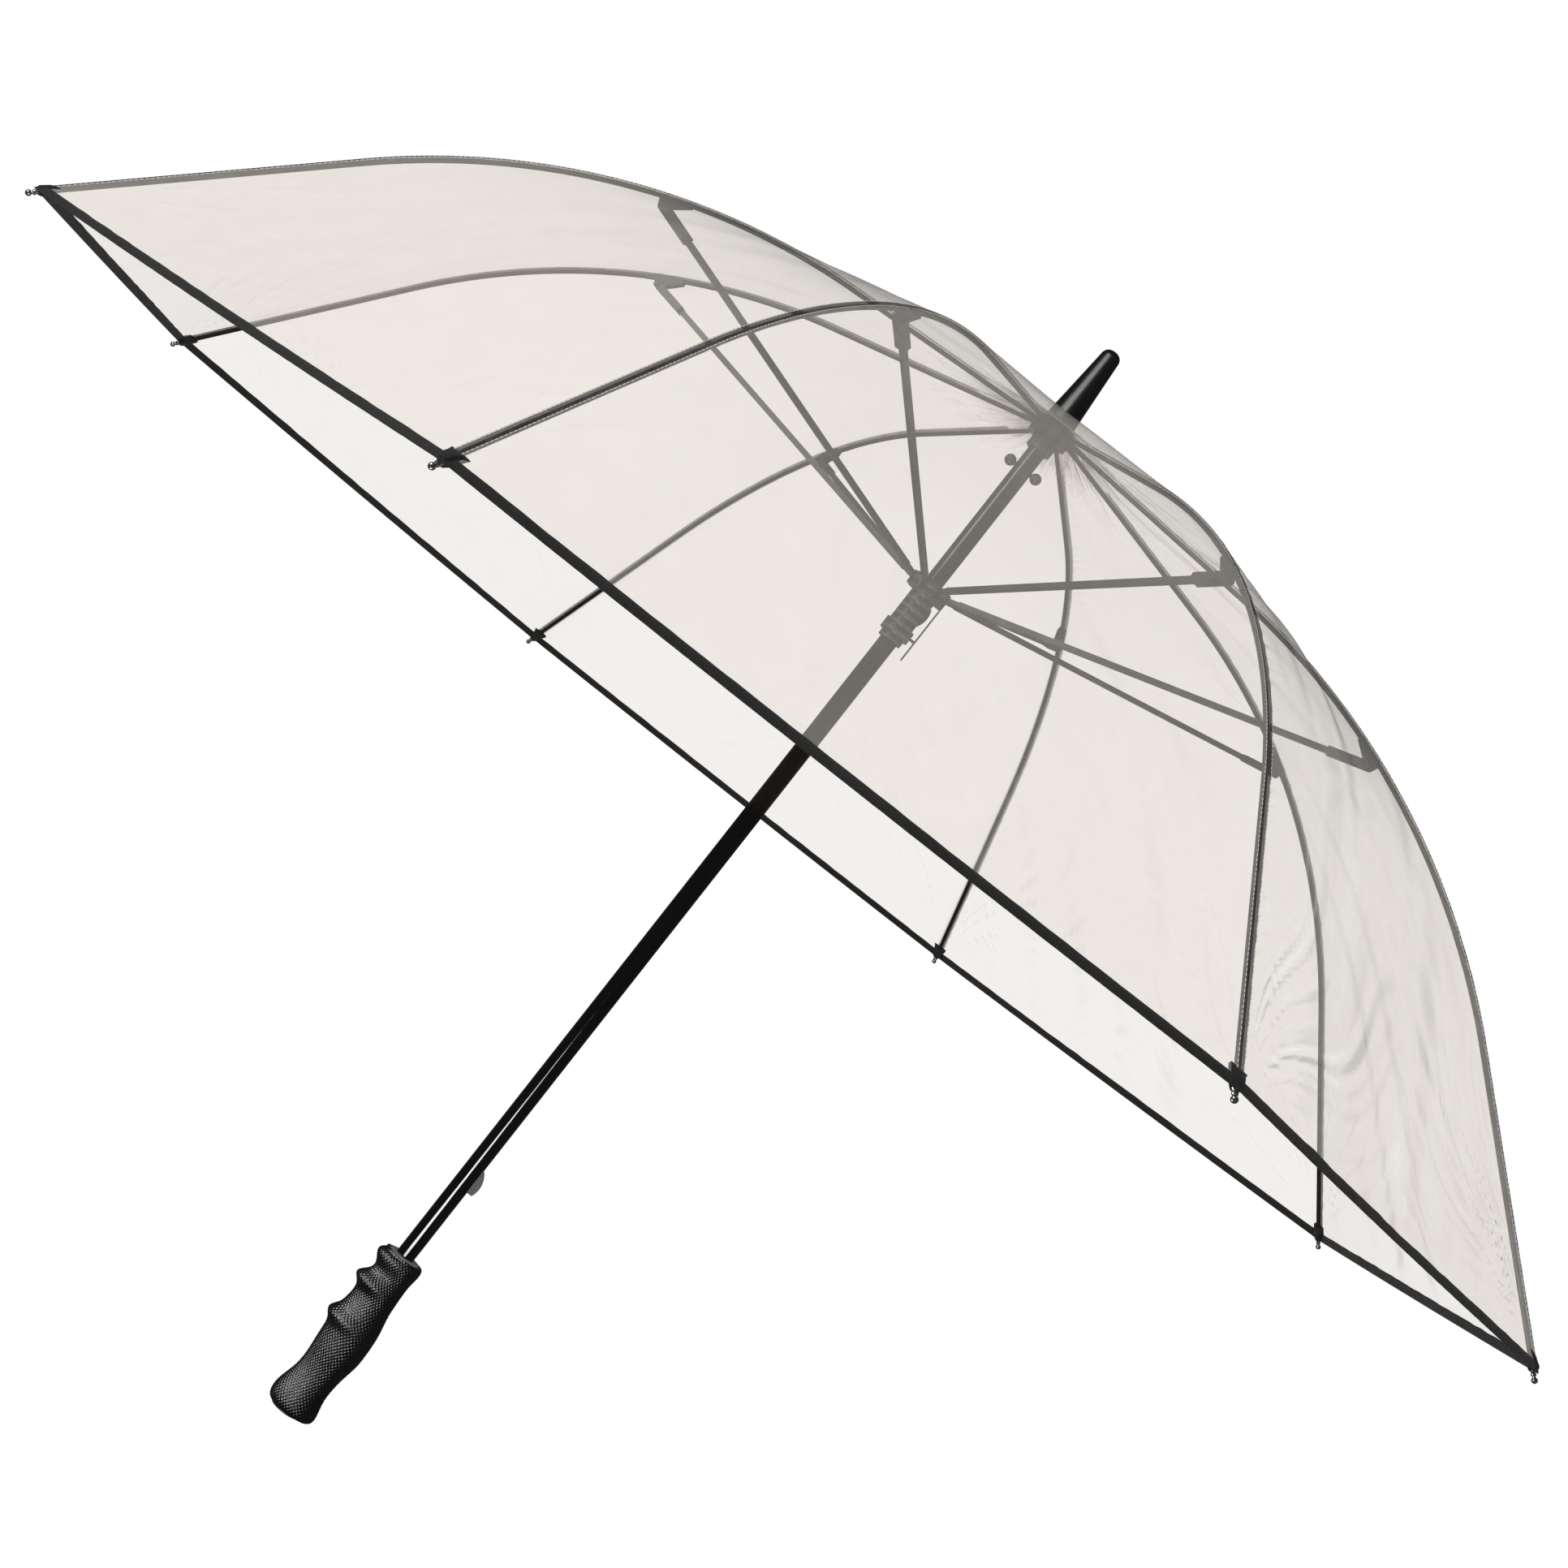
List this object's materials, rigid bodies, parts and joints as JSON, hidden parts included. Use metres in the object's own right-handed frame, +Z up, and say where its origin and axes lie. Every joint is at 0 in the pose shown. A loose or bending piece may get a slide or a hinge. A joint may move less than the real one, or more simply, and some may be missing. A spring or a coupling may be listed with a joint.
{
  "type": "umbrella",
  "caption": "Open umbrella with a clear film canopy, black edge tape, jointed ribs and stretchers, a sliding runner, push-button catches and a straight finger-grooved grip.",
  "frame": {"origin": "middle of the grip, on the shaft's axis", "axes": "+Z up the shaft towards the ferrule, +X the side of the two push-button catches, -X the side of the grip's finger grooves"},
  "size_m": [1.196, 1.196, 0.9626],
  "materials": {
    "shaft": "black gel-coated glass-fibre tube",
    "steel": "bright drawn wire and spring strip",
    "grip_rubber": "black rubber with a fine diamond texture",
    "grip_collar": "dark grey moulded ring",
    "black_plastic": "black moulded nylon",
    "ferrule": "black gloss",
    "clear_film": "clear flexible film with a faint haze",
    "black_tape": "black woven binding tape",
    "seam_tape": "translucent welded tape",
    "catch": "black push button",
    "runner": "black moulded nylon",
    "rib": "black glass-fibre rod",
    "stretcher": "black glass-fibre bar with moulded sockets",
    "bracket": "black folded clip with bright rivets",
    "tip_chrome": "nickel-plated turned cap"
  },
  "bodies": {
    "frame": {"shaft": "shaft", "stop_pin": "steel", "catch_springs": "steel", "grip": "grip_rubber", "grip_collar": "grip_collar", "grip_end_plug": "black_plastic", "ferrule": "ferrule", "crown": "black_plastic", "crown_wire": "steel", "canopy_film": "clear_film", "canopy_binding": "black_tape", "canopy_seams": "seam_tape"},
    "upper_catch": {"upper_catch": "catch"},
    "lower_catch": {"lower_catch": "catch"},
    "runner": {"runner": "runner", "runner_wire": "steel", "catch_guard": "runner"},
    "inner_rib_1": {"inner_rib_1": "rib", "rib_bracket_1": "bracket"},
    "outer_rib_1": {"outer_rib_1": "rib", "tip_cap_1": "tip_chrome"},
    "stretcher_1": {"stretcher_1": "stretcher"},
    "inner_rib_2": {"inner_rib_2": "rib", "rib_bracket_2": "bracket"},
    "outer_rib_2": {"outer_rib_2": "rib", "tip_cap_2": "tip_chrome"},
    "stretcher_2": {"stretcher_2": "stretcher"},
    "inner_rib_3": {"inner_rib_3": "rib", "rib_bracket_3": "bracket"},
    "outer_rib_3": {"outer_rib_3": "rib", "tip_cap_3": "tip_chrome"},
    "stretcher_3": {"stretcher_3": "stretcher"},
    "inner_rib_4": {"inner_rib_4": "rib", "rib_bracket_4": "bracket"},
    "outer_rib_4": {"outer_rib_4": "rib", "tip_cap_4": "tip_chrome"},
    "stretcher_4": {"stretcher_4": "stretcher"},
    "inner_rib_5": {"inner_rib_5": "rib", "rib_bracket_5": "bracket"},
    "outer_rib_5": {"outer_rib_5": "rib", "tip_cap_5": "tip_chrome"},
    "stretcher_5": {"stretcher_5": "stretcher"},
    "inner_rib_6": {"inner_rib_6": "rib", "rib_bracket_6": "bracket"},
    "outer_rib_6": {"outer_rib_6": "rib", "tip_cap_6": "tip_chrome"},
    "stretcher_6": {"stretcher_6": "stretcher"},
    "inner_rib_7": {"inner_rib_7": "rib", "rib_bracket_7": "bracket"},
    "outer_rib_7": {"outer_rib_7": "rib", "tip_cap_7": "tip_chrome"},
    "stretcher_7": {"stretcher_7": "stretcher"},
    "inner_rib_8": {"inner_rib_8": "rib", "rib_bracket_8": "bracket"},
    "outer_rib_8": {"outer_rib_8": "rib", "tip_cap_8": "tip_chrome"},
    "stretcher_8": {"stretcher_8": "stretcher"}
  },
  "joints": [
    {"name": "rib_fold_1", "type": "hinge", "parent": "frame", "child": "inner_rib_1", "pos_m": [0.01109, 0.00459, 0.82], "axis": [-0.3827, 0.9239, 0], "range_deg": [0, 72.5], "deforming": ["canopy_film", "canopy_binding", "canopy_seams", "upper_catch", "lower_catch"]},
    {"name": "stretcher_hinge_1", "type": "hinge", "parent": "inner_rib_1", "child": "stretcher_1", "pos_m": [0.30396, 0.1259, 0.747], "axis": [-0.3827, 0.9239, 0], "range_deg": [-145, 0]},
    {"name": "outer_rib_flex_1", "type": "hinge", "parent": "inner_rib_1", "child": "outer_rib_1", "pos_m": [0.30627, 0.12686, 0.75259], "axis": [-0.3827, 0.9239, 0], "range_deg": [-21.22, 0]},
    {"name": "rib_fold_2", "type": "hinge", "parent": "frame", "child": "inner_rib_2", "pos_m": [0.00459, 0.01109, 0.82], "axis": [-0.9239, 0.3827, 0], "range_deg": [0, 72.5], "deforming": ["canopy_film", "canopy_binding", "canopy_seams", "upper_catch", "lower_catch"]},
    {"name": "stretcher_hinge_2", "type": "hinge", "parent": "inner_rib_2", "child": "stretcher_2", "pos_m": [0.1259, 0.30396, 0.747], "axis": [-0.9239, 0.3827, 0], "range_deg": [-145, 0]},
    {"name": "outer_rib_flex_2", "type": "hinge", "parent": "inner_rib_2", "child": "outer_rib_2", "pos_m": [0.12686, 0.30627, 0.75259], "axis": [-0.9239, 0.3827, 0], "range_deg": [-21.22, 0]},
    {"name": "rib_fold_3", "type": "hinge", "parent": "frame", "child": "inner_rib_3", "pos_m": [-0.00459, 0.01109, 0.82], "axis": [-0.9239, -0.3827, 0], "range_deg": [0, 72.5], "deforming": ["canopy_film", "canopy_binding", "canopy_seams", "upper_catch", "lower_catch"]},
    {"name": "stretcher_hinge_3", "type": "hinge", "parent": "inner_rib_3", "child": "stretcher_3", "pos_m": [-0.1259, 0.30396, 0.747], "axis": [-0.9239, -0.3827, 0], "range_deg": [-145, 0]},
    {"name": "outer_rib_flex_3", "type": "hinge", "parent": "inner_rib_3", "child": "outer_rib_3", "pos_m": [-0.12686, 0.30627, 0.75259], "axis": [-0.9239, -0.3827, 0], "range_deg": [-21.22, 0]},
    {"name": "rib_fold_4", "type": "hinge", "parent": "frame", "child": "inner_rib_4", "pos_m": [-0.01109, 0.00459, 0.82], "axis": [-0.3827, -0.9239, 0], "range_deg": [0, 72.5], "deforming": ["canopy_film", "canopy_binding", "canopy_seams", "upper_catch", "lower_catch"]},
    {"name": "stretcher_hinge_4", "type": "hinge", "parent": "inner_rib_4", "child": "stretcher_4", "pos_m": [-0.30396, 0.1259, 0.747], "axis": [-0.3827, -0.9239, 0], "range_deg": [-145, 0]},
    {"name": "outer_rib_flex_4", "type": "hinge", "parent": "inner_rib_4", "child": "outer_rib_4", "pos_m": [-0.30627, 0.12686, 0.75259], "axis": [-0.3827, -0.9239, 0], "range_deg": [-21.22, 0]},
    {"name": "rib_fold_5", "type": "hinge", "parent": "frame", "child": "inner_rib_5", "pos_m": [-0.01109, -0.00459, 0.82], "axis": [0.3827, -0.9239, 0], "range_deg": [0, 72.5], "deforming": ["canopy_film", "canopy_binding", "canopy_seams", "upper_catch", "lower_catch"]},
    {"name": "stretcher_hinge_5", "type": "hinge", "parent": "inner_rib_5", "child": "stretcher_5", "pos_m": [-0.30396, -0.1259, 0.747], "axis": [0.3827, -0.9239, 0], "range_deg": [-145, 0]},
    {"name": "outer_rib_flex_5", "type": "hinge", "parent": "inner_rib_5", "child": "outer_rib_5", "pos_m": [-0.30627, -0.12686, 0.75259], "axis": [0.3827, -0.9239, 0], "range_deg": [-21.22, 0]},
    {"name": "rib_fold_6", "type": "hinge", "parent": "frame", "child": "inner_rib_6", "pos_m": [-0.00459, -0.01109, 0.82], "axis": [0.9239, -0.3827, 0], "range_deg": [0, 72.5], "deforming": ["canopy_film", "canopy_binding", "canopy_seams", "upper_catch", "lower_catch"]},
    {"name": "stretcher_hinge_6", "type": "hinge", "parent": "inner_rib_6", "child": "stretcher_6", "pos_m": [-0.1259, -0.30396, 0.747], "axis": [0.9239, -0.3827, 0], "range_deg": [-145, 0]},
    {"name": "outer_rib_flex_6", "type": "hinge", "parent": "inner_rib_6", "child": "outer_rib_6", "pos_m": [-0.12686, -0.30627, 0.75259], "axis": [0.9239, -0.3827, 0], "range_deg": [-21.22, 0]},
    {"name": "rib_fold_7", "type": "hinge", "parent": "frame", "child": "inner_rib_7", "pos_m": [0.00459, -0.01109, 0.82], "axis": [0.9239, 0.3827, 0], "range_deg": [0, 72.5], "deforming": ["canopy_film", "canopy_binding", "canopy_seams", "upper_catch", "lower_catch"]},
    {"name": "stretcher_hinge_7", "type": "hinge", "parent": "inner_rib_7", "child": "stretcher_7", "pos_m": [0.1259, -0.30396, 0.747], "axis": [0.9239, 0.3827, 0], "range_deg": [-145, 0]},
    {"name": "outer_rib_flex_7", "type": "hinge", "parent": "inner_rib_7", "child": "outer_rib_7", "pos_m": [0.12686, -0.30627, 0.75259], "axis": [0.9239, 0.3827, 0], "range_deg": [-21.22, 0]},
    {"name": "rib_fold_8", "type": "hinge", "parent": "frame", "child": "inner_rib_8", "pos_m": [0.01109, -0.00459, 0.82], "axis": [0.3827, 0.9239, 0], "range_deg": [0, 72.5], "deforming": ["canopy_film", "canopy_binding", "canopy_seams", "upper_catch", "lower_catch"]},
    {"name": "stretcher_hinge_8", "type": "hinge", "parent": "inner_rib_8", "child": "stretcher_8", "pos_m": [0.30396, -0.1259, 0.747], "axis": [0.3827, 0.9239, 0], "range_deg": [-145, 0]},
    {"name": "outer_rib_flex_8", "type": "hinge", "parent": "inner_rib_8", "child": "outer_rib_8", "pos_m": [0.30627, -0.12686, 0.75259], "axis": [0.3827, 0.9239, 0], "range_deg": [-21.22, 0]},
    {"name": "runner_hinge", "type": "hinge", "parent": "stretcher_1", "child": "runner", "pos_m": [0.01109, 0.00459, 0.674], "axis": [-0.3827, 0.9239, 0], "range_deg": [0, 72.5]},
    {"name": "upper_catch_press", "type": "slide", "parent": "frame", "child": "upper_catch", "axis": [-1, 0, 0], "range_m": [0, 0.005], "stiffness_N_per_m": 600, "deforming": ["catch_springs"]},
    {"name": "lower_catch_press", "type": "slide", "parent": "frame", "child": "lower_catch", "axis": [-1, 0, 0], "range_m": [0, 0.005], "stiffness_N_per_m": 600, "deforming": ["catch_springs"]}
  ],
  "couplings": [
    {"joint": "stretcher_hinge_1", "follows": "rib_fold_1", "ratio": -2},
    {"joint": "outer_rib_flex_1", "follows": "rib_fold_1", "ratio": -0.29},
    {"joint": "rib_fold_2", "follows": "rib_fold_1", "ratio": 1},
    {"joint": "stretcher_hinge_2", "follows": "rib_fold_1", "ratio": -2},
    {"joint": "outer_rib_flex_2", "follows": "rib_fold_1", "ratio": -0.29},
    {"joint": "rib_fold_3", "follows": "rib_fold_1", "ratio": 1},
    {"joint": "stretcher_hinge_3", "follows": "rib_fold_1", "ratio": -2},
    {"joint": "outer_rib_flex_3", "follows": "rib_fold_1", "ratio": -0.29},
    {"joint": "rib_fold_4", "follows": "rib_fold_1", "ratio": 1},
    {"joint": "stretcher_hinge_4", "follows": "rib_fold_1", "ratio": -2},
    {"joint": "outer_rib_flex_4", "follows": "rib_fold_1", "ratio": -0.29},
    {"joint": "rib_fold_5", "follows": "rib_fold_1", "ratio": 1},
    {"joint": "stretcher_hinge_5", "follows": "rib_fold_1", "ratio": -2},
    {"joint": "outer_rib_flex_5", "follows": "rib_fold_1", "ratio": -0.29},
    {"joint": "rib_fold_6", "follows": "rib_fold_1", "ratio": 1},
    {"joint": "stretcher_hinge_6", "follows": "rib_fold_1", "ratio": -2},
    {"joint": "outer_rib_flex_6", "follows": "rib_fold_1", "ratio": -0.29},
    {"joint": "rib_fold_7", "follows": "rib_fold_1", "ratio": 1},
    {"joint": "stretcher_hinge_7", "follows": "rib_fold_1", "ratio": -2},
    {"joint": "outer_rib_flex_7", "follows": "rib_fold_1", "ratio": -0.29},
    {"joint": "rib_fold_8", "follows": "rib_fold_1", "ratio": 1},
    {"joint": "stretcher_hinge_8", "follows": "rib_fold_1", "ratio": -2},
    {"joint": "outer_rib_flex_8", "follows": "rib_fold_1", "ratio": -0.29},
    {"joint": "runner_hinge", "follows": "rib_fold_1", "ratio": 1}
  ]
}
